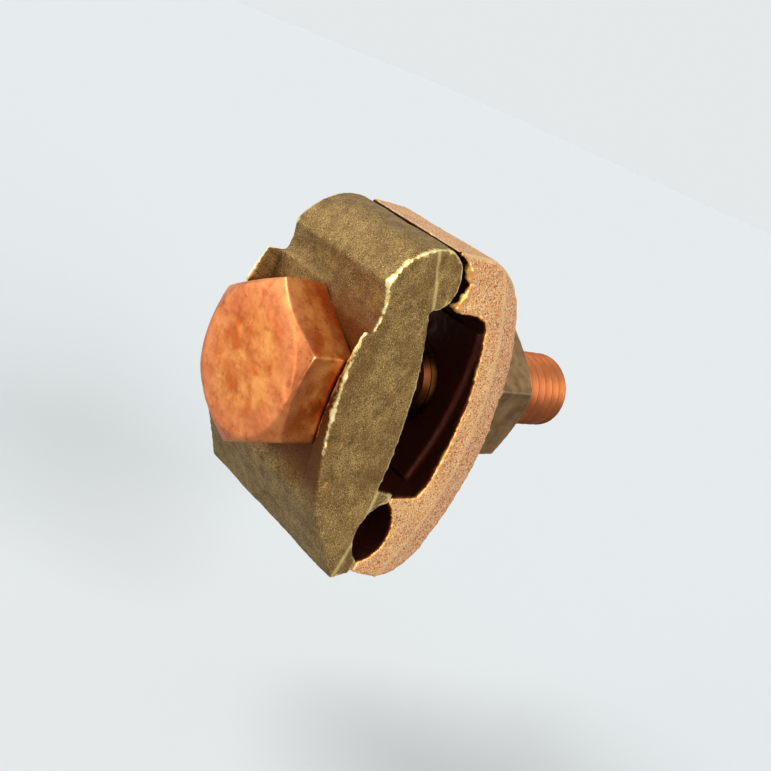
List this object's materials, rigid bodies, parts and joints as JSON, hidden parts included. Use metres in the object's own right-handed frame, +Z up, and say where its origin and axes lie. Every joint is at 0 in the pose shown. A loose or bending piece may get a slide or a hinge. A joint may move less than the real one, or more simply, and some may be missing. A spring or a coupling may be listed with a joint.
{
  "type": "earth rod clamp",
  "caption": "Rocking two-jaw earthing clamp: bronze front jaw, copper rear jaw with socket, hexagon bolt and nut, side slot and conductor groove.",
  "frame": {"origin": "on the bolt's axis, in the middle of the slot between the jaws", "axes": "+Y along the bolt from its head to its thread end, +Z up towards the lobe that the jaws rock on, +X across the jaws, along the rod"},
  "size_m": [0.0264, 0.0514, 0.0379],
  "materials": {
    "bronze": "blasted bronze with rubbed edges",
    "copper_casting": "blasted copper with dark speckle",
    "coppered_steel": "copper-plated steel",
    "nut_bronze": "plain bronze"
  },
  "bodies": {
    "front": {"front_jaw": "bronze", "clamp_bolt": "coppered_steel"},
    "rear": {"rear_jaw": "copper_casting"},
    "nut": {"clamp_nut": "nut_bronze"}
  },
  "joints": [
    {"name": "jaw_slide", "type": "slide", "parent": "front", "child": "rear", "axis": [0, 1, 0], "range_m": [0, 0.012]},
    {"name": "nut_turn", "type": "hinge", "parent": "rear", "child": "nut", "pos_m": [0, 0, 0], "axis": [0, 1, 0], "range_deg": [0, 2880]}
  ],
  "couplings": [
    {"joint": "nut_turn", "follows": "jaw_slide", "rad_per_m": 4188.8}
  ]
}
